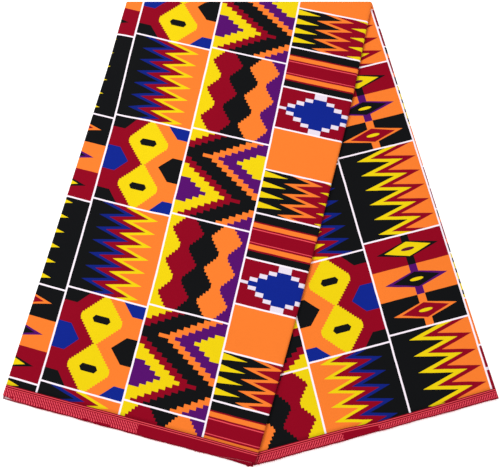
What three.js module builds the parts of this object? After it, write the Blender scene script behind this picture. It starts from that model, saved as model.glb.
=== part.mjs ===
// A length of african wax print cloth, folded flat into a long pad and then folded once across.
// The pad's printed side is outside all round. The crease lies at the back, and the two halves
// fan out from it: the front leg lies on top and leans left, the back leg lies beneath and leans
// right. Millimetres, +Z up, the table at z = 0 and the origin in the middle of the plan.
import * as THREE from 'three';

// The pad: how thick the folded plies are, and the walls and clearances in them
const padThickness = 6.0;
const plyWall = 1.0;
const seamGap = 0.3;
const selvedgeBand = 15.0;

// The lie of the legs. A corner's rise is its distance up the plan from the lowest corner
const halfSpread = 289.1;
const halfReach = 293.6;
const creaseHalfWidth = 163.9;
const frontHem = { leftX: -halfSpread, leftRise: 76.8, rightX: 4.6, rightRise: 0.9 };
const backHem = { leftX: -4.3, leftRise: 0.0, rightX: halfSpread, rightRise: 77.1 };
const outerBow = 1.5;
const innerBow = 4.2;

// How the front leg comes down to the table beside the back leg's hidden edge
const rampWidth = 46.0;

// Soft waves in the plies: how far from the hem and from the left edge, how long and broad, how high
const waves = [
  { leg: 'front', along: 150, across: 90, length: 80, breadth: 46, rise: 0.5 },
  { leg: 'front', along: 330, across: 215, length: 90, breadth: 50, rise: 0.6 },
  { leg: 'front', along: 440, across: 120, length: 70, breadth: 50, rise: 0.4 },
  { leg: 'back', along: 110, across: 240, length: 70, breadth: 40, rise: 0.5 },
  { leg: 'back', along: 290, across: 265, length: 80, breadth: 36, rise: 0.4 },
];
const waveMargin = 30.0;

// How finely each stretch is divided
const legSteps = 16;
const rollSteps = 8;
const sideSteps = 4;
const faceSteps = { table: 4, ramp: 6, stack: 5 };
const leastStep = 1.5;
const spreadSteps = 4;

// The plies that show at the hems, as teeth at the ends of the hidden layers
const hemPlies = 3;
const plySlot = 0.3;
const plySetback = [0.6, 1.5, 0.9];
const slotDepth = 4.0;
const roundingSteps = 3;
const leastSquash = 0.3;

const pileHeight = 2 * padThickness + seamGap;
const rollAxis = { y: halfReach - pileHeight / 2, z: pileHeight / 2 };

const { clamp, lerp } = THREE.MathUtils;
const smooth = (t) => t * t * (3 - 2 * t);
const plan = (x, rise) => new THREE.Vector2(x, rise - halfReach);
const creaseEnds = [
  new THREE.Vector2(-creaseHalfWidth, rollAxis.y),
  new THREE.Vector2(creaseHalfWidth, rollAxis.y),
];

// Each edge runs from its hem corner to its end of the crease, a little bowed
const edges = {
  front: [
    { from: plan(frontHem.leftX, frontHem.leftRise), to: creaseEnds[0], bow: outerBow },
    { from: plan(frontHem.rightX, frontHem.rightRise), to: creaseEnds[1], bow: innerBow },
  ],
  back: [
    { from: plan(backHem.leftX, backHem.leftRise), to: creaseEnds[0], bow: -innerBow },
    { from: plan(backHem.rightX, backHem.rightRise), to: creaseEnds[1], bow: -outerBow },
  ],
};

// A plan point of a leg: its share of the width from the left edge and its distance from the hem
function legPoint(leg, share, distance) {
  const [left, right] = edges[leg];
  const hem = left.from.clone().lerp(right.from, share);
  const top = left.to.clone().lerp(right.to, share);
  const length = hem.distanceTo(top);
  const t = distance(length) / length;
  const side = new THREE.Vector2(top.y - hem.y, hem.x - top.x).normalize();
  const bow = lerp(left.bow, right.bow, share) * 4 * t * (1 - t);
  return hem.clone().lerp(top, t).addScaledVector(side, bow);
}

// How far a plan point lies to the left of a leg's edge
function leftOfEdge(edge, point) {
  const t = clamp((point.y - edge.from.y) / (edge.to.y - edge.from.y), 0, 1);
  const slope = (edge.to.x - edge.from.x) / (edge.to.y - edge.from.y);
  const x = lerp(edge.from.x, edge.to.x, t) + (edge.bow * 4 * t * (1 - t)) / Math.cos(Math.atan(slope));
  return (x - point.x) * Math.cos(Math.atan(slope));
}

// The height of a leg's underside above the table
function legFloor(leg, point) {
  if (leg === 'back') return 0;
  const fall = clamp(leftOfEdge(edges.back[0], point) / rampWidth, 0, 1);
  return (padThickness + seamGap) * (1 - smooth(fall));
}

// The height of the soft waves, which fade out where the front leg covers the back leg
function waveRise(leg, point) {
  let rise = 0;
  for (const wave of waves.filter((entry) => entry.leg === leg)) {
    const share = wave.across / (2 * creaseHalfWidth);
    const centre = legPoint(leg, share, () => wave.along);
    const above = legPoint(leg, share, () => wave.along + 1);
    const along = above.sub(centre);
    const offset = point.clone().sub(centre);
    const a = offset.dot(along) / wave.length;
    const b = offset.cross(along) / wave.breadth;
    rise += wave.rise * Math.exp(-a * a - b * b);
  }
  if (leg === 'front') return rise;
  return rise * smooth(clamp(-leftOfEdge(edges.front[1], point) / waveMargin, 0, 1));
}

// A station is a place along the pad. Its order runs from the front hem, over the crease, to the
// back hem. Height runs through the pad, from the face between the legs to the outer face
function legStation(leg, distance, order) {
  return {
    order,
    leg,
    distance,
    spread: leg === 'back' ? 1 : 0,
    place(share, height) {
      const point = legPoint(leg, share, distance);
      const through = leg === 'front' ? height : padThickness - height;
      const lift = through * (1 + waveRise(leg, point) / padThickness);
      return new THREE.Vector3(point.x, point.y, legFloor(leg, point) + lift);
    },
  };
}

function rollStation(angle, order) {
  return {
    order,
    leg: 'roll',
    spread: 0,
    place(share, height) {
      const x = lerp(-creaseHalfWidth, creaseHalfWidth, share);
      const radius = seamGap / 2 + height;
      const y = rollAxis.y + radius * Math.cos(angle);
      return new THREE.Vector3(x, y, rollAxis.z + radius * Math.sin(angle));
    },
  };
}

const nominalLength = 2 * halfReach;
const rollLength = Math.PI * padThickness;
const padLength = 2 * nominalLength + rollLength;

// The stations of both legs and the roll between them, from one distance from each hem to the same
function padStations(start) {
  const stations = [];
  for (let i = 0; i < legSteps; i += 1) {
    const f = i / legSteps;
    const distance = (length) => lerp(start, length, f);
    stations.push(legStation('front', distance, lerp(start, nominalLength, f)));
  }
  for (let i = 0; i <= rollSteps; i += 1) {
    const f = i / rollSteps;
    stations.push(rollStation(Math.PI * (0.5 - f), nominalLength + f * rollLength));
  }
  for (let i = 1; i <= legSteps; i += 1) {
    const f = 1 - i / legSteps;
    const distance = (length) => lerp(start, length, f);
    const order = padLength - lerp(start, nominalLength, f);
    const station = legStation('back', distance, order);
    station.spread = clamp(i / spreadSteps, 0, 1);
    stations.push(station);
  }
  return stations;
}

function stationWidth(station) {
  if (station.leg === 'roll') return 2 * creaseHalfWidth;
  const left = legPoint(station.leg, 0, station.distance);
  return left.distanceTo(legPoint(station.leg, 1, station.distance));
}

// The distances from the left edge at which a face is divided. On the front leg they follow the
// back leg's hidden edge beneath, and the ramp beside it
function faceStops(station) {
  const width = stationWidth(station);
  const margin = padThickness / 2;
  const { table, ramp, stack } = faceSteps;
  const count = table + ramp + stack;
  let rampFoot = 0;
  let rampHead = 0;
  if (station.leg === 'front') {
    const left = leftOfEdge(edges.back[0], legPoint('front', 0, station.distance));
    const right = leftOfEdge(edges.back[0], legPoint('front', 1, station.distance));
    rampHead = (width * left) / (left - right);
    rampFoot = (width * (left - rampWidth)) / (left - right);
  }
  const headLimits = [margin + (table + ramp) * leastStep, width - margin - stack * leastStep];
  rampHead = clamp(rampHead, headLimits[0], headLimits[1]);
  rampFoot = clamp(rampFoot, margin + table * leastStep, rampHead - ramp * leastStep);
  const marks = [margin, rampFoot, rampHead, width - margin];
  const stops = [];
  [table, ramp, stack].forEach((steps, part) => {
    for (let i = 0; i < steps; i += 1) stops.push(lerp(marks[part], marks[part + 1], i / steps));
  });
  stops.push(marks[3]);
  const even = (i) => lerp(margin, width - margin, i / count);
  return { width, stops: stops.map((stop, i) => lerp(stop, even(i), station.spread)) };
}

// One loop round the pad's section, set in from its outer face
function sectionLoop(station, inset) {
  const { width, stops } = faceStops(station);
  const radius = padThickness / 2 - inset;
  const middle = padThickness / 2;
  const loop = stops.map((stop) => [stop, middle + radius]);
  for (let i = 1; i < sideSteps; i += 1) {
    const turn = (Math.PI * i) / sideSteps;
    loop.push([width - middle + radius * Math.sin(turn), middle + radius * Math.cos(turn)]);
  }
  for (const stop of stops.slice().reverse()) loop.push([stop, middle - radius]);
  for (let i = 1; i < sideSteps; i += 1) {
    const turn = (Math.PI * i) / sideSteps;
    loop.push([middle - radius * Math.sin(turn), middle - radius * Math.cos(turn)]);
  }
  return loop.map(([across, height]) => station.place(across / width, height));
}

// A closed mesh from loops of points, each joined to the next
class Shell {
  constructor() {
    this.points = [];
    this.faces = [];
  }

  row(points) {
    const first = this.points.length;
    this.points.push(...points);
    return points.map((_, i) => first + i);
  }

  // Each square between two loops is split from corner to corner, either way
  join(a, b, crossed = false) {
    for (let i = 0; i < a.length; i += 1) {
      const j = (i + 1) % a.length;
      if (crossed) this.faces.push([a[i], a[j], b[i]], [a[j], b[j], b[i]]);
      else this.faces.push([a[i], a[j], b[j]], [a[i], b[j], b[i]]);
    }
  }

  geometry() {
    const volume = this.faces.reduce((sum, [a, b, c]) => {
      const [p, q, r] = [this.points[a], this.points[b], this.points[c]];
      return sum + p.dot(q.clone().cross(r));
    }, 0);
    const faces = volume > 0 ? this.faces : this.faces.map(([a, b, c]) => [a, c, b]);
    const geometry = new THREE.BufferGeometry().setFromPoints(this.points);
    geometry.setIndex(faces.flat());
    geometry.computeVertexNormals();
    return geometry;
  }
}

// The pad's outer ply along some stations: a flattened tube of cloth, open at both ends
function plyTube(stations) {
  const shell = new Shell();
  const outer = stations.map((station) => shell.row(sectionLoop(station, 0)));
  const inner = stations.map((station) => shell.row(sectionLoop(station, plyWall)));
  const last = stations.length - 1;
  for (let i = 0; i < last; i += 1) {
    shell.join(outer[i], outer[i + 1]);
    shell.join(inner[i + 1], inner[i]);
  }
  shell.join(inner[0], outer[0]);
  shell.join(outer[last], inner[last]);
  return shell.geometry();
}

// The teeth of the plies at one hem, in order from the pad's outer face to its inner face
function hemTeeth(leg, low, high) {
  const thickness = (high - low - (hemPlies - 1) * plySlot) / hemPlies;
  const teeth = [];
  const order = (distance) => (leg === 'front' ? distance : padLength - distance);
  const at = (distance) => legStation(leg, () => distance, order(distance));
  for (let i = 0; i < hemPlies; i += 1) {
    const top = high - i * (thickness + plySlot);
    teeth.push([at(slotDepth), top], [at(plySetback[i]), top]);
    teeth.push([at(plySetback[i]), top - thickness], [at(slotDepth), top - thickness]);
  }
  return teeth;
}

// The faces that close a side of the hidden plies, as places in their profile. The profile runs along
// the top, round the teeth at the back hem, back along the bottom and round the front hem's teeth
function sideFaces(count) {
  const teethPoints = 4 * hemPlies;
  const bottom = (i) => 2 * count + teethPoints - 1 - i;
  const fan = (ring) => ring.slice(2).map((point, i) => [ring[0], ring[i + 1], point]);
  const faces = [];
  for (let i = 0; i < count - 1; i += 1) {
    faces.push(...fan([i, i + 1, bottom(i + 1), bottom(i)]));
  }
  const hems = [
    { start: count, first: count - 1, last: bottom(count - 1) },
    { start: 2 * count + teethPoints, first: bottom(0), last: 0 },
  ];
  for (const { start, first, last } of hems) {
    const roots = [];
    for (let i = start; i < start + teethPoints; i += 4) {
      faces.push(...fan([i, i + 1, i + 2, i + 3]));
      roots.push(i, i + 3);
    }
    faces.push(...fan([first, ...roots, last]));
  }
  return faces;
}

// The hidden plies share one solid inside the outer ply, rounded at its sides, layered at the hems
function hiddenLayers() {
  const low = plyWall + seamGap;
  const high = padThickness - low;
  const middle = padThickness / 2;
  const radius = middle - low;
  const body = padStations(selvedgeBand);
  const profile = [
    ...body.map((station) => [station, high]),
    ...hemTeeth('back', low, high),
    ...body.slice().reverse().map((station) => [station, low]),
    ...hemTeeth('front', low, high).reverse(),
  ];
  const count = faceSteps.table + faceSteps.ramp + faceSteps.stack;
  const columns = [];
  for (let i = -roundingSteps; i <= count + roundingSteps; i += 1) {
    const past = Math.max(-i, i - count, 0);
    const turn = (Math.PI / 2) * (past / roundingSteps);
    columns.push({
      stop: clamp(i, 0, count),
      shift: Math.sign(i) * (past > 0 ? radius * Math.sin(turn) : 0),
      squash: Math.max(Math.cos(turn), leastSquash),
    });
  }
  const shell = new Shell();
  const rows = columns.map(({ stop, shift, squash }) => shell.row(profile.map(([station, height]) => {
    const { width, stops } = faceStops(station);
    const across = stops[stop] + shift;
    return station.place(across / width, middle + (height - middle) * squash);
  })));
  for (let i = 0; i < rows.length - 1; i += 1) shell.join(rows[i], rows[i + 1], true);
  for (const [a, b, c] of sideFaces(body.length)) {
    const [start, end] = [rows[0], rows[rows.length - 1]];
    shell.faces.push([start[a], start[c], start[b]], [end[a], end[b], end[c]]);
  }
  return shell.geometry();
}

function selvedgeStations(leg) {
  return [0, slotDepth, selvedgeBand].map((d) => legStation(leg, () => d, d));
}

const printedCotton = { color: 0xf3722c, roughness: 0.78, metalness: 0 };
const selvedgeCotton = { color: 0x9c0c2c, roughness: 0.82, metalness: 0 };
const innerCotton = { color: 0x7c1026, roughness: 0.85, metalness: 0 };

function piece(name, geometry, finish) {
  const mesh = new THREE.Mesh(geometry, new THREE.MeshStandardMaterial(finish));
  mesh.name = name;
  return mesh;
}

const cloth = new THREE.Group();
cloth.add(piece('printed_outer_ply', plyTube(padStations(selvedgeBand + seamGap)), printedCotton));
cloth.add(piece('front_selvedge', plyTube(selvedgeStations('front')), selvedgeCotton));
cloth.add(piece('back_selvedge', plyTube(selvedgeStations('back')), selvedgeCotton));
cloth.add(piece('hidden_plies', hiddenLayers(), innerCotton));

export default cloth;
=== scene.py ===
# A length of african wax print cloth, folded flat into a long pad and then once across, so that
# its two legs fan out from the crease. Z is up, the table is at z = 0 and the origin is in the
# middle of the plan. Sizes are millimetres, and become metres as each mesh is made. Eighteen
# plies of a third of a millimetre make a pad of six.

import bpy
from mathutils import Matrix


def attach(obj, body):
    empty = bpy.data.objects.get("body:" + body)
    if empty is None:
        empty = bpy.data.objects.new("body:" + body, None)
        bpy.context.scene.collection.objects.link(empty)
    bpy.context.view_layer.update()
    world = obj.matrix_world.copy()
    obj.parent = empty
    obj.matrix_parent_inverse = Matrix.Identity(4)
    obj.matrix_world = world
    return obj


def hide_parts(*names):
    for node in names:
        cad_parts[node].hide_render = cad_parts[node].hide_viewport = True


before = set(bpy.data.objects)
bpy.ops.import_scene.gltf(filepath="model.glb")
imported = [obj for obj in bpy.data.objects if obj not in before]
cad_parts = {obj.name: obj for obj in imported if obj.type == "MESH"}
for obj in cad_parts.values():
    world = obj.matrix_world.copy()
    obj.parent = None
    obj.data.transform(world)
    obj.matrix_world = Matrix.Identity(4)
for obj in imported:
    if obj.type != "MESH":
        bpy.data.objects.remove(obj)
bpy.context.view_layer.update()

import math

import bpy
import numpy as np
from mathutils import Vector

mm = 0.001
scene = bpy.context.scene

pad = {
    "thickness": 6.0,
    "seam": 0.3,  # air between the two legs
    "halfReach": 293.6,
    "creaseHalf": 163.9,
    "rampWidth": 46.0,  # how far the front leg takes to come down to the table
    "waveMargin": 30.0,  # the back leg stays flat where the front leg lies on it
    "creaseBend": 5.0,  # how far a soft crease strays to either side of its straight line
}
pileHeight = 2 * pad["thickness"] + pad["seam"]
rollAxis = {"y": pad["halfReach"] - pileHeight / 2, "z": pileHeight / 2}
rollRadius = pad["seam"] / 2 + pad["thickness"]
creaseEnds = [np.array([side * pad["creaseHalf"], rollAxis["y"]]) for side in (-1, 1)]


# A plan point from its distance up the plan from the lowest hem corner
def plan(x, rise):
    return np.array([x, rise - pad["halfReach"]])


# Each leg's left and right hem corners, and how far its left and right edges bow out
legs = {
    "front": {"hem": [plan(-289.1, 76.8), plan(4.6, 0.9)], "bow": [0.6, 4.2]},
    "back": {"hem": [plan(-4.3, 0.0), plan(289.1, 77.1)], "bow": [-4.2, -1.5]},
}

# The broad soft waves: along from the hem and across from the left edge, length, breadth, rise
waves = {
    "front": [(150, 90, 80, 46, 0.5), (330, 215, 90, 50, 0.6), (440, 120, 70, 50, 0.4)],
    "back": [(110, 240, 70, 40, 0.5), (290, 265, 80, 36, 0.4)],
}

# The soft creases: from and to as (along, across), half-width, and rise, or depth where negative
creases = {
    "front": [
        ((40, 34), (176, 58), 7, -0.26),
        ((70, 128), (205, 112), 9, 0.22),
        ((22, 196), (120, 214), 6, -0.24),
        ((150, 236), (330, 252), 8, -0.28),
        ((232, 20), (352, 44), 8, 0.24),
        ((260, 150), (420, 168), 10, -0.22),
        ((392, 232), (520, 214), 8, 0.26),
        ((430, 60), (540, 92), 9, -0.24),
        ((300, 90), (390, 120), 7, 0.18),
        ((100, 262), (190, 284), 6, 0.2),
    ],
    "back": [
        ((30, 250), (150, 232), 7, -0.26),
        ((64, 186), (150, 204), 8, 0.22),
        ((190, 276), (320, 262), 7, 0.24),
        ((250, 238), (360, 256), 8, -0.24),
        ((380, 268), (500, 280), 7, -0.2),
        ((20, 110), (88, 130), 7, 0.2),
    ],
}


def mix(a, b, t):
    return a + (b - a) * t


def smooth(t):
    t = np.clip(t, 0, 1)
    return t * t * (3 - 2 * t)


# Plan points of a leg from shares of its width and distances from its hem. A part in place of a
# distance is the share of the way from the start distance to the crease
def legPlan(leg, share, distance=0.0, start=0.0, part=None):
    share = np.asarray(share, float)
    hem = mix(*legs[leg]["hem"], share[..., None])
    run = mix(*creaseEnds, share[..., None]) - hem
    length = np.linalg.norm(run, axis=-1)
    if part is not None:
        distance = start + (length - start) * part
    t = distance / length
    side = np.stack([run[..., 1], -run[..., 0]], -1) / length[..., None]
    bow = mix(*legs[leg]["bow"], share) * 4 * t * (1 - t)
    return hem + run * t[..., None] + side * bow[..., None]


# How far plan points lie to the left of a leg's left or right edge
def leftOfEdge(leg, side, point):
    start, end = legs[leg]["hem"][side], creaseEnds[side]
    t = np.clip((point[..., 1] - start[1]) / (end[1] - start[1]), 0, 1)
    lean = math.cos(math.atan((end[0] - start[0]) / (end[1] - start[1])))
    x = mix(start[0], end[0], t) + legs[leg]["bow"][side] * 4 * t * (1 - t) / lean
    return (x - point[..., 0]) * lean


def legFloor(leg, point):
    if leg == "back":
        return 0.0
    fall = leftOfEdge("back", 0, point) / pad["rampWidth"]
    return (pad["thickness"] + pad["seam"]) * (1 - smooth(fall))


# The rise of the waves, and of the creases too where the ply is an outer one, at plan points
def swell(leg, point, creased=True):
    width = 2 * pad["creaseHalf"]
    rise = np.zeros(point.shape[:-1])
    for along, across, length, breadth, height in waves[leg]:
        centre = legPlan(leg, across / width, along)
        axis = legPlan(leg, across / width, along + 1) - centre
        offset = point - centre
        a = offset @ axis / length
        b = (offset[..., 0] * axis[1] - offset[..., 1] * axis[0]) / breadth
        rise = rise + height * np.exp(-a * a - b * b)
    for (alongA, acrossA), (alongB, acrossB), halfWidth, height in creases[leg] if creased else []:
        a, b = legPlan(leg, acrossA / width, alongA), legPlan(leg, acrossB / width, alongB)
        run = b - a
        t = (point - a) @ run / (run @ run)
        off = (point[..., 0] - a[0]) * run[1] - (point[..., 1] - a[1]) * run[0]
        off = off / np.linalg.norm(run) + pad["creaseBend"] * np.sin(math.pi * t)
        fade = smooth(1 - np.abs(2 * t - 1)) * np.exp(-(off / halfWidth) ** 2)
        rise = rise + height * fade
    if leg == "back":
        rise = rise * smooth(-leftOfEdge("front", 1, point) / pad["waveMargin"])
    return rise


# Each leg's right edge is drawn in towards the crease: how much, and from how far
corner = {"front": (3.8, 150.0), "back": (0.8, 60.0), "breadth": 60.0}


def drawIn(place, across, point):
    if place["leg"] == "roll":
        amount = mix(corner["back"][0], corner["front"][0], (1 + math.sin(place["angle"])) / 2)
    else:
        amount, reach = corner[place["leg"]]
        amount = amount * smooth(1 - (rollAxis["y"] - point[..., 1]) / reach)
    amount = amount * smooth((across - rowWidth(place)) / corner["breadth"] + 1)
    return point - np.stack([amount, np.zeros(len(across))], -1)


# One row of points across the pad, at a place along it. A place is a leg with a distance or a part
# of the way to the crease, or an angle of the roll. Height runs from the face between the legs
def rowAt(place, across, height, creased=True):
    if place["leg"] == "roll":
        radius = pad["seam"] / 2 + height
        y = rollAxis["y"] + radius * math.cos(place["angle"])
        z = rollAxis["z"] + radius * math.sin(place["angle"])
        point = drawIn(place, across, np.stack([across - pad["creaseHalf"], y], -1))
        return np.concatenate([point, z[..., None]], -1)
    width = rowWidth(place)
    point = drawIn(place, across, legPlan(place["leg"], across / width, **place["at"]))
    through = height if place["leg"] == "front" else pad["thickness"] - height
    lift = through * (1 + swell(place["leg"], point, creased) / pad["thickness"])
    return np.concatenate([point, (legFloor(place["leg"], point) + lift)[..., None]], -1)


# The place of a row at a distance from a leg's hem
def onLeg(leg, distance):
    return {"leg": leg, "at": {"distance": distance}}


# A row's left and right ends. Where its distance from the hem varies, they are at the mean
def rowEnds(place):
    if place["leg"] == "roll":
        return creaseEnds
    at = {name: float(np.mean(value)) for name, value in place["at"].items()}
    return legPlan(place["leg"], np.array([0.0, 1.0]), **at)


def rowWidth(place):
    left, right = rowEnds(place)
    return float(np.linalg.norm(right - left))


# The places along the pad, from a start at the front hem over the crease to one at the back hem
def padPlaces(starts, legSteps, rollSteps):
    def partWay(leg, part):
        return {"leg": leg, "at": {"start": starts[leg], "part": part}}

    places = [partWay("front", i / legSteps) for i in range(legSteps)]
    for i in range(rollSteps + 1):
        places.append({"leg": "roll", "angle": math.pi * (0.5 - i / rollSteps)})
    return places + [partWay("back", 1 - i / legSteps) for i in range(1, legSteps + 1)]


# The loop round the pad's section, in four runs that each give the distance across, the height and
# the way round the cloth. The way round is counted from the left edge of the face that shows
def sectionRuns(width, faceSteps, sideSteps, faceUp):
    radius = pad["thickness"] / 2
    turn = np.linspace(0, math.pi, sideSteps + 1)
    face = np.linspace(radius, width - radius, faceSteps + 1)
    under = width - radius + math.pi * radius + (width - radius - face)
    runs = {
        "left": (radius - radius * np.sin(turn), radius - radius * np.cos(turn)),
        "outer": (face, np.full(faceSteps + 1, 2 * radius)),
        "right": (width - radius + radius * np.sin(turn), radius + radius * np.cos(turn)),
        "inner": (face[::-1], np.zeros(faceSteps + 1)),
    }
    if faceUp == "outer":
        ways = {"left": radius - radius * turn[::-1], "outer": face,
                "right": width - radius + radius * turn, "inner": under[::-1]}
    else:
        ways = {"left": radius - radius * turn, "outer": under,
                "right": width - radius + radius * turn[::-1], "inner": face[::-1]}
    return [(*runs[name], ways[name]) for name in runs]


# Where the print lies on each leg: a corner of the printed squares, one square across, one down,
# and how far the cloth, smoothed by hand, has drawn it out of line towards the leg's ends and sides
printLattice = {
    "front": {
        "corner": (-146.5, 246.0), "across": (97.2, -24.7), "down": (-24.3, -110.9),
        "draw": (2.7, 1.0), "middle": -74.0, "sag": -3.5, "twist": -0.85,
    },
    "back": {
        "corner": (179.9, 211.1), "across": (97.3, 25.0), "down": (27.1, -110.2),
        "draw": (0.6, 2.6), "middle": 0.0, "sag": 0.0, "twist": 0.0,
    },
}
drawReach = 250.0
turnedPrint = {"across": -1.0, "down": 2.053}  # the back leg shows the print turned half round


# Plan points as columns and rows of the print
def printPlace(leg, point):
    lattice = printLattice[leg]
    grid = np.array([lattice["across"], lattice["down"]]).T
    end = point[..., 1] / drawReach
    side = (point[..., 0] - lattice["middle"]) / drawReach
    drawn = point + np.array(lattice["draw"]) * (end ** 2)[..., None]
    drawn[..., 1] += side * (lattice["sag"] * side + lattice["twist"] * end)
    place = np.linalg.solve(grid, (drawn - np.array(lattice["corner"])).T).T
    if leg == "back":
        place = np.array([turnedPrint["across"], turnedPrint["down"]]) - place
    return place


# The way round and along the cloth at one row, laid out flat on the plan
def unrolled(place, across, way):
    left, right = rowEnds(place)
    direction = (right - left) / np.linalg.norm(right - left)
    if place["leg"] == "roll":
        y = rollAxis["y"] + rollRadius * (math.pi / 2 - place["angle"])
        point = np.stack([across - pad["creaseHalf"], np.full(len(across), y)], -1)
    else:
        point = legPlan(place["leg"], across / rowWidth(place), **place["at"])
    return drawIn(place, across, point) + direction * (way - across)[..., None]


# Where the points round a section lie across the pad
def sectionAcross(leg, faceSteps, sideSteps):
    runs = sectionRuns(rowWidth(onLeg(leg, 0.0)), faceSteps, sideSteps, "outer")
    return np.concatenate([run[0][:-1] for run in runs])


# The selvedge's width along each hem, at shares of the way from the left
bandWidths = {
    "front": ((0, 1), (16.6, 16.6)),
    "back": ((0, 0.4, 0.53, 0.75, 1), (13.2, 13.0, 10.5, 10.7, 12.0)),
}
selvedgeWidth = 15.0  # as woven, and as its pattern is mapped


def bandWidth(leg, across):
    return np.interp(across / rowWidth(onLeg(leg, 0.0)), *bandWidths[leg])


def makeMesh(name, points, faces, corners, mapName):
    mesh = bpy.data.meshes.new(name)
    mesh.from_pydata((np.asarray(points) * mm).tolist(), [], faces)
    layer = mesh.uv_layers.new(name=mapName)
    layer.data.foreach_set("uv", np.asarray(corners, np.float32).ravel())
    mesh.shade_smooth()
    mesh.validate()
    piece = bpy.data.objects.new(name, mesh)
    scene.collection.objects.link(piece)
    return piece


# A flattened tube of cloth round the pad. The mapping gives a face corner's place on the cloth.
# The last row of the roll is mapped twice, as the face that shows changes there
def clothTube(name, places, faceSteps, sideSteps, mapping, mapName):
    points, faces, corners = [], [], []
    rows = []
    for place, following in zip(places, [*places[1:], None]):
        width = rowWidth(place)
        ups = ["inner"] if place["leg"] == "back" else ["outer"]
        if place["leg"] == "roll" and following["leg"] == "back":
            ups = ["outer", "inner"]
        row = {}
        for up in ups:
            runs = sectionRuns(width, faceSteps, sideSteps, up)
            across = np.concatenate([run[0][:-1] for run in runs])
            height = np.concatenate([run[1][:-1] for run in runs])
            starts = np.concatenate([run[2][:-1] for run in runs])
            ends = np.concatenate([run[2][1:] for run in runs])
            nextAcross = np.roll(across, -1)
            row[up] = (mapping(place, across, starts, up), mapping(place, nextAcross, ends, up))
        first = len(points)
        points.extend(rowAt(place, across, height))
        rows.append((first, row))
    count = len(points) // len(rows)
    for (a, rowA), (b, rowB) in zip(rows, rows[1:]):
        up = "outer" if "outer" in rowA and "outer" in rowB else "inner"
        startsA, endsA = rowA[up]
        startsB, endsB = rowB[up]
        for j in range(count):
            k = (j + 1) % count
            faces.append((a + j, a + k, b + k, b + j))
            corners += [startsA[j], endsA[j], endsB[j], startsB[j]]
    return makeMesh(name, points, faces, corners, mapName)


def finishMesh(piece, material):
    piece.data.materials.clear()
    piece.data.materials.append(material)
    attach(piece, "root")


# Gives a single ply its thickness, inwards from the outside
def thicken(piece, thickness):
    wall = piece.modifiers.new("ply", "SOLIDIFY")
    wall.thickness = thickness * mm
    wall.offset = -1
    wall.use_even_offset = True


# A number that a material works out, so that its sums can be written as sums
class Amount:
    def __init__(self, tree, socket):
        self.tree, self.socket = tree, socket

    def reckon(self, operation, *others):
        node = self.tree.nodes.new("ShaderNodeMath")
        node.operation = operation
        for slot, value in zip(node.inputs, (self, *others)):
            if isinstance(value, Amount):
                self.tree.links.new(value.socket, slot)
            else:
                slot.default_value = value
        return Amount(self.tree, node.outputs[0])

    def __add__(self, other):
        return self.reckon("ADD", other)

    def __sub__(self, other):
        return self.reckon("SUBTRACT", other)

    def __mul__(self, other):
        return self.reckon("MULTIPLY", other)

    def __truediv__(self, other):
        return self.reckon("DIVIDE", other)

    def __lt__(self, other):
        return self.reckon("LESS_THAN", other)

    def __gt__(self, other):
        return self.reckon("GREATER_THAN", other)

    def away(self, other):  # the distance from a value
        return (self - other).reckon("ABSOLUTE")

    def part(self):
        return self.reckon("FRACT")

    def whole(self):
        return self.reckon("FLOOR")

    def held(self):  # kept from 0 to 1
        node = self.reckon("ADD", 0.0)
        node.socket.node.use_clamp = True
        return node

    def waver(self, half, at=0.0):  # the distance to the nearest of marks two halves apart
        return (self - at).reckon("PINGPONG", half)

    def between(self, other, share):
        return self + (other - self) * share

    def stepped(self, step):  # rounded to the middle of its step
        return ((self / step).whole() + 0.5) * step


def dye(red, green, blue):
    def linear(value):
        value /= 255
        return value / 12.92 if value <= 0.04045 else ((value + 0.055) / 1.055) ** 2.4

    return (linear(red), linear(green), linear(blue), 1.0)


dyes = {
    "orange": dye(236, 119, 42),
    "crimson": dye(135, 0, 27),
    "darkCrimson": dye(120, 1, 22),
    "blue": dye(10, 33, 132),
    "navy": dye(12, 30, 118),
    "black": dye(12, 13, 15),
    "yellow": dye(226, 198, 9),
    "purple": dye(80, 10, 100),
    "salmon": dye(228, 76, 88),
    "plum": dye(90, 20, 46),
    "line": dye(242, 230, 240),
    "pale": dye(220, 209, 223),
    "raw": dye(204, 184, 190),
    "loop": dye(214, 104, 116),
    "hatch": dye(222, 74, 90),
}


# Bands of colour along an amount from 0 to 1, each from its own start
def bands(amount, stops):
    ramp = amount.tree.nodes.new("ShaderNodeValToRGB")
    ramp.color_ramp.interpolation = "CONSTANT"
    elements = ramp.color_ramp.elements
    while len(elements) < len(stops):
        elements.new(0.5)
    for element, (start, colour) in zip(elements, stops):
        element.position, element.color = start, dyes[colour]
    amount.tree.links.new(amount.socket, ramp.inputs[0])
    return ramp.outputs[0]


# A colour laid over another where the mask is 1
def over(base, colour, mask):
    node = mask.tree.nodes.new("ShaderNodeMix")
    node.data_type = "RGBA"
    mask.tree.links.new(mask.socket, node.inputs[0])
    for slot, value in ((node.inputs[6], base), (node.inputs[7], colour)):
        if isinstance(value, str):
            slot.default_value = dyes[value]
        else:
            mask.tree.links.new(value, slot)
    return node.outputs[2]


# The printed squares. Each takes x across and y down its square, from 0 to 1. The half of a
# row of flames or teeth is half the way from one to the next
def flameSquare(x, y):
    half, reach = 0.08475, 0.402
    peak = y.waver(half, 0.0605) / half
    edge = x + peak * reach - reach
    return bands(edge, [(0, "orange"), (0.0305, "crimson"), (0.21, "yellow"), (0.378, "black")])


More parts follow.
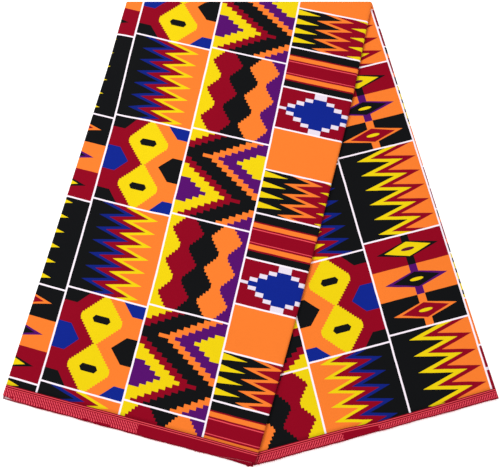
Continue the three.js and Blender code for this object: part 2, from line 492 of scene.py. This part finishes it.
# Three diamonds on a stem, one above the other, each with a heart and a round seed
def gemSquare(x, y):
    row = (y * 3).whole()
    off = y.away(row * 0.3335 + 0.168)
    across = x.away(0.485)
    colour = bands(y, [(0, "black"), (0.336, "orange"), (0.663, "crimson")])
    rim = bands(y, [(0, "orange"), (0.336, "purple"), (0.663, "black")])
    colour = over(colour, rim, across < 0.048)
    colour = over(colour, rim, across / 0.395 + off / 0.092 < 1)
    heart = bands(y, [(0, "crimson"), (0.336, "black"), (0.663, "yellow")])
    colour = over(colour, heart, across / 0.293 + off / 0.08 < 1)
    seed = bands(y, [(0, "yellow"), (0.663, "plum")])
    wide, tall = across / 0.084, off / 0.0175
    return over(colour, seed, wide * wide + tall * tall < 1)


def tallFlameSquare(x, y):
    half, reach = 0.0721, 0.31
    peak = y.waver(half, 0.0875) / half
    edge = x + peak * reach - reach
    return bands(edge, [
        (0, "black"), (0.136, "navy"), (0.264, "crimson"), (0.437, "yellow"), (0.557, "orange"),
    ])


# Two yellow eyes with black pupils, one above the other, and blunt blocks from both sides
def eyeSquare(x, y):
    lower = y > 0.5035
    off = y.away(lower * 0.507 + 0.25)
    across = x.away(0.508)
    colour = over("crimson", "orange", x > 0.5)
    nearest = y.waver(0.25)
    middle = y.away(0.5) < 0.25
    left = over("black", "blue", middle)
    right = over("blue", "black", middle)
    blockHalf = 0.139
    colour = over(colour, left, nearest < ((x * -1 + 0.308) / 0.138).held() * blockHalf)
    colour = over(colour, right, nearest < ((x - 0.706) / 0.152).held() * blockHalf)
    side = (off.stepped(0.0223) * -1.04 + 0.281).reckon("MINIMUM", 0.253)
    colour = over(colour, "yellow", across < side)
    pupil = (off < 0.0375) * (across < off * -0.8 + 0.111)
    return over(colour, "black", pupil)


# Two upright bands that swell and narrow in small steps
def waveSquare(x, y):
    waveHalf = 0.17375
    bulge = (y.stepped(0.0315).waver(waveHalf, 0.15) / waveHalf) * -1.15 + 1.0
    half = bulge.held() * 0.142 + 0.058
    colour = bands(x, [(0, "yellow"), (0.2605, "black"), (0.742, "purple")])
    colour = over(colour, "crimson", x.away(0.26) < half)
    return over(colour, "orange", x.away(0.7415) < half * 0.98)


# Bands that climb in steps from a left tip to a right one, with a spur at each
def stairSquare(x, y):
    climbSteps = 11
    step = ((y - 0.278) / 0.0391 + 0.5).whole()
    climb = step.waver(climbSteps)
    edge = x - climb * 0.0731
    colour = bands((edge + 0.25) / 0.7, [
        (0, "yellow"), (0.048, "crimson"), (0.27, "black"), (0.7357, "orange"), (0.944, "purple"),
    ])
    colour = over(colour, "purple", (edge < -0.4465) * (climb > 7.5))
    colour = over(colour, "yellow", (edge > 0.651) * (climb < 3.5))
    colour = over(colour, "crimson", (climb > climbSteps - 0.5) * (x.away(0.755) < 0.037))
    return over(colour, "orange", (climb < 0.5) * (x.away(0.245) < 0.032))


# Black and orange teeth from the left, and yellow slivers from both sides
def toothSquare(x, y):
    half, reach = 0.118, 0.325
    peak = y.waver(half, 0.109) / half
    edge = x + peak * reach - reach
    colour = bands(edge, [(0, "black"), (0.2715, "orange"), (0.4225, "crimson")])
    colour = over(colour, "black", x > 0.955)
    colour = over(colour, "yellow", y.waver(half, 0.106) < (x * -0.2372 + 0.074))
    return over(colour, "yellow", y.waver(half, 0.009) < ((x - 0.729) * 0.2878))


def stripeSquare(y):
    return bands(y, [
        (0, "black"), (0.19, "crimson"), (0.215, "orange"), (0.314, "crimson"), (0.351, "salmon"),
        (0.369, "crimson"), (0.642, "salmon"), (0.66, "crimson"), (0.697, "orange"),
        (0.80, "crimson"), (0.835, "black"),
    ])


# A blue stepped diamond with pale blocks along its edge
def brickSquare(x, y):
    middle, stepIn = 0.51, -0.1055
    off, across = y.away(middle), x.away(middle)

    def level(out):  # the course of blocks, counted from the middle
        return (off > 0.042 + out) + (off > 0.14 + out) + (off > 0.25 + out) + (off > 0.348 + out)

    paleLevel, blueLevel = level(-0.006), level(0.01)
    tip = (paleLevel > 0.5).reckon("MAXIMUM", off < 0.03)
    colour = over("crimson", "pale", (across < paleLevel * stepIn + 0.501) * tip)
    return over(colour, "blue", across < blueLevel * stepIn + 0.405)


# The whole repeat: four columns of squares with white lines between them. Rows of a column start
# a little higher or lower than the next column's, and the third column's squares are half as tall
repeat = {
    "flames": -0.003, "stairs": -0.042, "bricks": -0.265, "gems": 0.053,
    "columnLine": 0.0112, "rowLine": 0.0088,
}


def printedRepeat(column, row):
    x = column.part()
    index = (column / 4).part() * 4

    def under(start):  # the place down a square, whether it is a pair's second, and down the pair
        pair = ((row - start) / 2).part() * 2
        return pair.part(), pair > 1, pair

    y, second, _ = under(repeat["flames"])
    colour = over(tallFlameSquare(x, y), eyeSquare(x, y), second)
    line = y.away(0.5) > 0.5 - repeat["rowLine"]
    y, second, _ = under(repeat["stairs"])
    stairs = over(waveSquare(x, y), stairSquare(x, y), second)
    isStairs = index > 1
    colour = over(colour, stairs, isStairs)
    line = line.between(y.away(0.5) > 0.5 - repeat["rowLine"], isStairs)
    _, second, pair = under(repeat["bricks"])
    y = (pair * 2).part()
    bricks = over(stripeSquare(y), brickSquare(x, y), pair > 0.5)
    bricks = over(bricks, "orange", second)
    bricks = over(bricks, toothSquare(x, y), pair > 1.5)
    isBricks = index > 2
    colour = over(colour, bricks, isBricks)
    line = line.between(y.away(0.5) > 0.5 - 2 * repeat["rowLine"], isBricks)
    y, second, _ = under(repeat["gems"])
    gems = over(flameSquare(x, y), gemSquare(x, y), second)
    isGems = index > 3
    colour = over(colour, gems, isGems)
    line = line.between(y.away(0.5) > 0.5 - repeat["rowLine"], isGems)
    line = line.reckon("MAXIMUM", x.away(0.5) > 0.5 - repeat["columnLine"])
    return over(colour, "line", line)


def newMaterial(name):
    material = bpy.data.materials.new(name)
    material.use_nodes = True
    tree = material.node_tree
    shader = tree.nodes["Principled BSDF"]
    return material, tree, shader


def mapAmounts(tree, mapName):
    source = tree.nodes.new("ShaderNodeUVMap")
    source.uv_map = mapName
    split = tree.nodes.new("ShaderNodeSeparateXYZ")
    tree.links.new(source.outputs[0], split.inputs[0])
    return Amount(tree, split.outputs[0]), Amount(tree, split.outputs[1])


def noiseAmount(tree, scale, detail):
    coordinate = tree.nodes.new("ShaderNodeTexCoord")
    noise = tree.nodes.new("ShaderNodeTexNoise")
    noise.inputs["Scale"].default_value = scale
    noise.inputs["Detail"].default_value = detail
    tree.links.new(coordinate.outputs["Object"], noise.inputs["Vector"])
    return Amount(tree, noise.outputs[0])


# The weave's threads, a soft unevenness of the ply, and a shade of colour that comes and goes.
# Threads are counted over one printed square, or over a centimetre of selvedge
clothFinish = {
    "threads": 260, "selvedgeThreads": 26, "threadRise": 0.00004, "threadShade": 0.03,
    "cockle": 0.00025, "cockleScale": 38, "shade": 0.10, "shadeScale": 9, "relief": 0.6,
    "wanderScale": 60, "wander": (0.008, -0.006),  # how far the dyes stray over their lines
    "roughness": 0.75, "specular": 0.05, "sheen": 0.015, "sheenRoughness": 0.5,
}


def clothSurface(tree, shader, colour, across, down, threads):
    turns = threads * math.tau
    weave = (across * turns).reckon("SINE") * (down * turns).reckon("SINE")
    cockle = noiseAmount(tree, clothFinish["cockleScale"], 3)
    height = weave * clothFinish["threadRise"] + cockle * clothFinish["cockle"]
    bump = tree.nodes.new("ShaderNodeBump")
    bump.inputs["Distance"].default_value = 1.0
    bump.inputs["Strength"].default_value = clothFinish["relief"]
    tree.links.new(height.socket, bump.inputs["Height"])
    tree.links.new(bump.outputs[0], shader.inputs["Normal"])
    shade = (noiseAmount(tree, clothFinish["shadeScale"], 4) - 0.5) * clothFinish["shade"] + 1
    shade = shade + weave * clothFinish["threadShade"]
    tint = tree.nodes.new("ShaderNodeHueSaturation")
    tree.links.new(shade.socket, tint.inputs["Value"])
    tree.links.new(colour, tint.inputs["Color"])
    tree.links.new(tint.outputs[0], shader.inputs["Base Color"])
    shader.inputs["Roughness"].default_value = clothFinish["roughness"]
    shader.inputs["Specular IOR Level"].default_value = clothFinish["specular"]
    shader.inputs["Sheen Weight"].default_value = clothFinish["sheen"]
    shader.inputs["Sheen Roughness"].default_value = clothFinish["sheenRoughness"]


def printedCottonMaterial():
    material, tree, shader = newMaterial("printedCotton")
    column, row = mapAmounts(tree, "print")
    wander = noiseAmount(tree, clothFinish["wanderScale"], 2) - 0.5
    aside, down = clothFinish["wander"]
    colour = printedRepeat(column + wander * aside, row + wander * down)
    clothSurface(tree, shader, colour, column, row, clothFinish["threads"])
    return material


# The selvedge, with its map in centimetres round the cloth and in from the edge. On each leg the
# hatching leans one way or the other, and leaves a plain stretch
selvedge = {
    "lines": (1.36, 1.14), "lineHalf": 0.038, "hatchTop": 1.05, "hatchFoot": 0.16, "edge": 0.12,
    "dash": 0.3, "rows": 0.34, "rowGap": 0.12, "slant": 0.85,
    "plain": {"front": (16.3, 40.0), "back": (11.65, 15.85)}, "lean": {"front": 1, "back": -1},
}


def selvedgeMaterial(name, leg):
    plainFrom, plainTo = selvedge["plain"][leg]
    material, tree, shader = newMaterial(name)
    along, inward = mapAmounts(tree, "selvedge")
    colour = over("crimson", "darkCrimson", inward > min(selvedge["lines"]))
    for line in selvedge["lines"]:
        colour = over(colour, "salmon", inward.away(line) < selvedge["lineHalf"])
    tier = inward / selvedge["rows"]
    slant = along / selvedge["dash"] + tier * (selvedge["lean"][leg] * selvedge["slant"])
    dashes = (slant.part() > 0.5) * (tier.part() > selvedge["rowGap"])
    hatched = (inward < selvedge["hatchTop"]) * (inward > selvedge["hatchFoot"])
    hatched = hatched * ((along < plainFrom).reckon("MAXIMUM", along > plainTo))
    colour = over(colour, "crimson", hatched)
    colour = over(colour, "hatch", dashes * hatched)
    colour = over(colour, "darkCrimson", inward < selvedge["edge"])
    clothSurface(tree, shader, colour, along, inward, clothFinish["selvedgeThreads"])
    return material


# The plies inside, with the same map. The uppermost one shows its pale side at the left corner
paleSide = {"along": 4.0, "inward": 1.2}


def pliesMaterial():
    material, tree, shader = newMaterial("innerCotton")
    along, inward = mapAmounts(tree, "plies")
    pale = (along < paleSide["along"]) * (inward < paleSide["inward"])
    colour = over("crimson", "raw", pale)
    clothSurface(tree, shader, colour, along, inward, clothFinish["selvedgeThreads"])
    return material


def loopMaterial():
    material, _, shader = newMaterial("hemLoops")
    shader.inputs["Base Color"].default_value = dyes["loop"]
    shader.inputs["Roughness"].default_value = 0.8
    shader.inputs["Specular IOR Level"].default_value = clothFinish["specular"]
    return material


print("printed cloth")
cloth = {
    "legSteps": 112, "rollSteps": 10, "faceSteps": 82, "sideSteps": 7, "ply": 0.4,
    "hemGap": 0.05,  # between the print and the selvedge
    "edgeDraw": 1.2, "edgeReach": 30.0,  # the cloth is drawn round the back leg's right fold
}


def printMapping(place, across, way, up):
    leg = "front" if up == "outer" else "back"
    if leg == "back":
        way = way + cloth["edgeDraw"] * smooth((way - rowWidth(place)) / cloth["edgeReach"] + 1)
    return printPlace(leg, unrolled(place, across, way))


# Where the print starts at a leg's hem, at each point round the section
def printStart(leg):
    across = sectionAcross(leg, cloth["faceSteps"], cloth["sideSteps"])
    return bandWidth(leg, across) + cloth["hemGap"]


printStarts = {leg: printStart(leg) for leg in legs}
printedCloth = clothTube(
    "printedCloth", padPlaces(printStarts, cloth["legSteps"], cloth["rollSteps"]),
    cloth["faceSteps"], cloth["sideSteps"], printMapping, "print",
)
thicken(printedCloth, cloth["ply"])
finishMesh(printedCloth, printedCottonMaterial())
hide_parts("printed_outer_ply")

print("selvedges")
hem = {
    "steps": 10, "faceSteps": 150, "sideSteps": 7,
    "uneven": 0.25, "lengths": (11, 4.3), "seed": {"front": 0.4, "back": 1.7},
    "matchFrom": 0.1, "matchOver": 0.1,  # where the pattern is moved to meet the print, as shares
}
# Where an outer ply's edge draws back and bares the plies: from, to and how far
hemDraws = {
    "front": [(64.0, 0.0, 1.4), (18.0, 0.0, 2.0), (236.0, 296.0, 4.4)],
    "back": [(16.0, 0.0, 1.6)],
}


# How far a hem's edge lies in from its line, along the hem
def hemInset(leg, across):
    seed = hem["seed"][leg]
    broad, fine = hem["lengths"]
    inset = hem["uneven"] * (np.sin(across / broad + seed) + 0.6 * np.sin(across / fine + 2 * seed))
    for start, end, depth in hemDraws[leg]:
        inset = inset + depth * smooth((across - start) / (end - start))
    return inset


def bandTube(name, leg):
    across = sectionAcross(leg, hem["faceSteps"], hem["sideSteps"])
    width = bandWidth(leg, across)
    places = []
    for i in range(hem["steps"] + 1):
        share = i / hem["steps"]
        distance = width * share + hemInset(leg, across) * (1 - share)
        places.append({"leg": leg, "at": {"distance": distance}, "share": share})

    def mapping(place, across, way, up):  # the pattern keeps its size, and its top meets the print
        moved = smooth((place["share"] - hem["matchFrom"]) / hem["matchOver"])
        shift = (selvedgeWidth - width) * moved
        return np.stack([way, place["at"]["distance"] + shift], -1) / 10

    piece = clothTube(name, places, hem["faceSteps"], hem["sideSteps"], mapping, "selvedge")
    if leg == "back":
        piece.data.flip_normals()
    thicken(piece, cloth["ply"])
    return piece


frontSelvedge = bandTube("frontSelvedge", "front")
finishMesh(frontSelvedge, selvedgeMaterial("frontSelvedgeCotton", "front"))
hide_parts("front_selvedge")
backSelvedge = bandTube("backSelvedge", "back")
finishMesh(backSelvedge, selvedgeMaterial("backSelvedgeCotton", "back"))
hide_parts("back_selvedge")

print("hem loops")
loops = {
    "pitch": 2.5, "radius": 0.85, "reach": 0.9, "thread": 0.17, "smallest": 0.75, "largest": 1.15,
    "seed": 7, "steps": 160, "cornerGap": 5.0,
}


# Geometry Nodes: small loops of thread side by side along a line, on the right of its way
def buildLoopTree():
    tree = bpy.data.node_groups.new("hemLoops", "GeometryNodeTree")
    sockets = {
        "Line": "NodeSocketGeometry", "Pitch": "NodeSocketFloat", "Radius": "NodeSocketFloat",
        "Reach": "NodeSocketFloat", "Thread": "NodeSocketFloat", "Smallest": "NodeSocketFloat",
        "Largest": "NodeSocketFloat", "Seed": "NodeSocketInt", "Material": "NodeSocketMaterial",
    }
    for name, kind in sockets.items():
        tree.interface.new_socket(name, in_out="INPUT", socket_type=kind)
    tree.interface.new_socket("Loops", in_out="OUTPUT", socket_type="NodeSocketGeometry")

    def add(kind, settings=None, **inputs):
        node = tree.nodes.new(kind)
        for name, value in (settings or {}).items():
            setattr(node, name, value)
        for name, value in inputs.items():
            slot = node.inputs[name.replace("_", " ")]
            if isinstance(value, bpy.types.NodeSocket):
                tree.links.new(value, slot)
            else:
                slot.default_value = value
        return node

    given = add("NodeGroupInput").outputs
    line = add("GeometryNodeMeshToCurve", Mesh=given["Line"])
    places = add(
        "GeometryNodeResampleCurve", {"mode": "LENGTH"},
        Curve=line.outputs[0], Length=given["Pitch"],
    )
    tangent = add("GeometryNodeInputTangent")
    turn = add("FunctionNodeAlignRotationToVector", {"axis": "X"}, Vector=tangent.outputs[0])
    arc = add(
        "GeometryNodeCurveArc", Resolution=9, Radius=given["Radius"],
        Start_Angle=math.pi, Sweep_Angle=math.pi,
    )
    stretch = add("ShaderNodeCombineXYZ", X=1.0, Y=given["Reach"], Z=1.0)
    bow = add("GeometryNodeTransform", Geometry=arc.outputs[0], Scale=stretch.outputs[0])
    profile = add("GeometryNodeCurvePrimitiveCircle", Resolution=5, Radius=given["Thread"])
    loop = add(
        "GeometryNodeCurveToMesh", Curve=bow.outputs[0], Profile_Curve=profile.outputs[0],
        Fill_Caps=True,
    )
    size = add("FunctionNodeRandomValue", Seed=given["Seed"])
    tree.links.new(given["Smallest"], size.inputs[2])
    tree.links.new(given["Largest"], size.inputs[3])
    row = add(
        "GeometryNodeInstanceOnPoints", Points=places.outputs[0], Instance=loop.outputs[0],
        Rotation=turn.outputs[0], Scale=size.outputs[1],
    )
    real = add("GeometryNodeRealizeInstances", Geometry=row.outputs[0])
    dyed = add("GeometryNodeSetMaterial", Geometry=real.outputs[0], Material=given["Material"])
    out = tree.nodes.new("NodeGroupOutput")
    tree.links.new(dyed.outputs[0], out.inputs[0])
    return tree


# Loops along one hem, on the outer ply's edge at both faces of the pad
def hemLoops(name, leg, tree, material):
    gap = loops["cornerGap"]
    across = np.linspace(gap, rowWidth(onLeg(leg, 0.0)) - gap, loops["steps"])
    edge = onLeg(leg, hemInset(leg, across))
    points, edges = [], []
    for height in (pad["thickness"] - cloth["ply"] / 2, cloth["ply"] / 2):
        first = len(points)
        points.extend(rowAt(edge, across, height) * mm)
        edges += [(first + i, first + i + 1) for i in range(loops["steps"] - 1)]
    line = bpy.data.meshes.new(name)
    line.from_pydata([point.tolist() for point in points], edges, [])
    piece = bpy.data.objects.new(name, line)
    scene.collection.objects.link(piece)
    weave = piece.modifiers.new("loops", "NODES")
    weave.node_group = tree
    values = {
        "Pitch": loops["pitch"] * mm, "Radius": loops["radius"] * mm, "Reach": loops["reach"],
        "Thread": loops["thread"] * mm, "Smallest": loops["smallest"], "Largest": loops["largest"],
        "Seed": loops["seed"], "Material": material,
    }
    for item in tree.interface.items_tree:
        if item.name in values:
            weave[item.identifier] = values[item.name]
    evaluated = piece.evaluated_get(bpy.context.evaluated_depsgraph_get())
    mesh = bpy.data.meshes.new_from_object(evaluated)
    piece.modifiers.clear()
    piece.data = mesh
    finishMesh(piece, material)
    return piece


loopTree, loopCotton = buildLoopTree(), loopMaterial()
frontLoops = hemLoops("frontHemLoops", "front", loopTree, loopCotton)
backLoops = hemLoops("backHemLoops", "back", loopTree, loopCotton)

print("folded plies")
plies = {
    "runs": 16, "low": 0.8, "high": 5.2, "ply": 0.22, "runSteps": 32, "foldSteps": 4,
    "legSteps": 26, "rollSteps": 8, "hemSteps": (4.0, 10.0, 20.0),
    "sideGap": 0.5, "stagger": 0.9,  # how far the folds keep off the outer ply, and stray from it
    "wander": (0.5, 0.3),  # how far an edge strays, broadly and finely
    "hemWidth": 300,  # the width on which that is laid out
    "farIn": 200.0,  # the distance in from a hem that the map gives past the hem steps
}
# How far each run's edge lies in from the hem, from the outer face inwards
plySetback = {
    "front": (0.9, 1.8, 0.4, 2.3, 1.2, 0.2, 1.6, 2.6, 0.7, 1.9, 1.0, 2.2, 0.3, 1.5, 0.8, 1.1),
    "back": (1.2, 0.5, 2.0, 1.4, 0.6, 2.4, 1.0, 0.3, 1.7, 2.1, 0.8, 1.3, 2.5, 0.4, 1.5, 0.7),
}


# The plies' section: one sheet folded to and fro, as centres across and up, with each one's run
def foldedSection(width):
    pitch = (plies["high"] - plies["low"]) / plies["runs"]
    middle, sideGap = pad["thickness"] / 2, plies["sideGap"]
    reach = middle - sideGap
    across, height, run = [], [], []
    for i in range(plies["runs"]):
        h = plies["high"] - (i + 0.5) * pitch
        inset = middle - math.sqrt(max(reach ** 2 - (h - middle) ** 2, 0.04)) + sideGap
        inset += plies["stagger"] * (1 + math.sin(2.3 * i + 0.7))
        left, right = inset, width - inset
        stops = np.linspace(left, right, plies["runSteps"] + 1)
        if i % 2:
            stops = stops[::-1]
        across += list(stops)
        height += [h] * len(stops)
        run += [float(i)] * len(stops)
        if i < plies["runs"] - 1:
            side = -1 if i % 2 else 1
            for step in range(1, plies["foldSteps"]):
                turn = math.pi * step / plies["foldSteps"]
                across.append(stops[-1] + side * pitch / 2 * math.sin(turn))
                height.append(h - pitch / 2 + pitch / 2 * math.cos(turn))
                run.append(i + step / plies["foldSteps"])
    return np.array(across), np.array(height), np.array(run)


def foldedPlies():
    def rowsOfLeg(leg):
        across, _, run = foldedSection(plies["hemWidth"])
        setback = np.interp(run, range(plies["runs"]), plySetback[leg])
        broad, fine = plies["wander"]
        wander = broad * np.sin(across / 23 + run * 1.9) + fine * np.sin(across / 7.1 + run)
        rows = [onLeg(leg, setback + wander)]
        rows += [onLeg(leg, distance) for distance in plies["hemSteps"]]
        start = plies["hemSteps"][-1]
        for i in range(1, plies["legSteps"] + 1):
            rows.append({"leg": leg, "at": {"start": start, "part": i / plies["legSteps"]}})
        return rows

    places = rowsOfLeg("front")
    for i in range(1, plies["rollSteps"]):
        places.append({"leg": "roll", "angle": math.pi * (0.5 - i / plies["rollSteps"])})
    places += rowsOfLeg("back")[::-1]
    points, ways, inwards = [], [], []
    for place in places:
        across, height, run = foldedSection(rowWidth(place))
        slopeX, slopeY = np.gradient(across), np.gradient(height)
        size = np.hypot(slopeX, slopeY)
        half = plies["ply"] / 2
        for side in (1, -1):
            a = across - side * half * slopeY / size
            h = height + side * half * slopeX / size
            points.append(rowAt(place, a, h, creased=False))
            ways.append(np.cumsum(size))
            distance = place.get("at", {}).get("distance", plies["farIn"])
            inwards.append(np.broadcast_to(distance, a.shape))
    count = len(points[0])
    faces = []

    def at(row, side, j):
        return (2 * row + side) * count + j

    last = len(places) - 1
    for row in range(last):
        after = row + 1
        for j in range(count - 1):
            k = j + 1
            faces.append((at(row, 0, j), at(row, 0, k), at(after, 0, k), at(after, 0, j)))
            faces.append((at(row, 1, j), at(after, 1, j), at(after, 1, k), at(row, 1, k)))
        for j in (0, count - 1):
            rim = [at(row, 0, j), at(after, 0, j), at(after, 1, j), at(row, 1, j)]
            faces.append(tuple(rim if j == 0 else rim[::-1]))
    for j in range(count - 1):
        faces.append((at(0, 0, j), at(0, 1, j), at(0, 1, j + 1), at(0, 0, j + 1)))
        faces.append((at(last, 0, j), at(last, 0, j + 1), at(last, 1, j + 1), at(last, 1, j)))
    places2d = np.stack([np.concatenate(ways), np.concatenate(inwards)], -1) / 10
    corners = [places2d[v] for face in faces for v in face]
    return makeMesh("foldedPlies", np.concatenate(points), faces, corners, "plies")


innerPlies = foldedPlies()
finishMesh(innerPlies, pliesMaterial())
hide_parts("hidden_plies")

print("floor, light and camera")
studio = {
    "floorHalf": 3.0, "floorDrop": 0.0003, "floorTone": 0.96, "floorGlow": 0.4, "sky": 0.5,
    # each lamp's place, size and power
    "keyLight": ((-0.7, 0.5, 1.5), 0.9, 21), "fillLight": ((0.8, -0.9, 1.3), 1.4, 8),
}
# The photo's camera, in millimetres and degrees
view = {
    "lens": 50.93, "sensor": 36.0, "elevation": 76.90, "distance": 862.8,
    "target": (-0.3, -21.0, 8.0),
}
white = (1, 1, 1, 1)


def addFloor():
    half, low = studio["floorHalf"], -studio["floorDrop"]
    around = ((-half, -half, low), (half, -half, low), (half, half, low), (-half, half, low))
    mesh = bpy.data.meshes.new("floor")
    mesh.from_pydata(around, [], [(0, 1, 2, 3)])
    floor = bpy.data.objects.new("floor", mesh)
    scene.collection.objects.link(floor)
    material, _, shader = newMaterial("paleFloor")
    shader.inputs["Base Color"].default_value = (*[studio["floorTone"]] * 3, 1)
    shader.inputs["Roughness"].default_value = 0.9
    shader.inputs["Emission Color"].default_value = white
    shader.inputs["Emission Strength"].default_value = studio["floorGlow"]
    mesh.materials.append(material)


# A round lamp that points at the middle of the cloth
def addLamp(name):
    place, size, power = studio[name]
    data = bpy.data.lights.new(name, "AREA")
    data.shape, data.size, data.energy = "DISK", size, power
    lamp = bpy.data.objects.new(name, data)
    lamp.location = place
    lamp.rotation_euler = (-Vector(place)).to_track_quat("-Z", "Y").to_euler()
    scene.collection.objects.link(lamp)


def addCamera():
    data = bpy.data.cameras.new("camera")
    data.lens, data.sensor_width = view["lens"], view["sensor"]
    camera = bpy.data.objects.new("camera", data)
    up = math.radians(view["elevation"])
    back = Vector((0, -math.cos(up), math.sin(up)))
    camera.location = (Vector(view["target"]) + back * view["distance"]) * mm
    camera.rotation_euler = (-back).to_track_quat("-Z", "Y").to_euler()
    scene.collection.objects.link(camera)
    scene.camera = camera


addFloor()
addLamp("keyLight")
addLamp("fillLight")
world = bpy.data.worlds.new("studio")
world.use_nodes = True
sky = world.node_tree.nodes["Background"]
sky.inputs["Color"].default_value = white
sky.inputs["Strength"].default_value = studio["sky"]
scene.world = world
scene.view_settings.view_transform = "Standard"
addCamera()
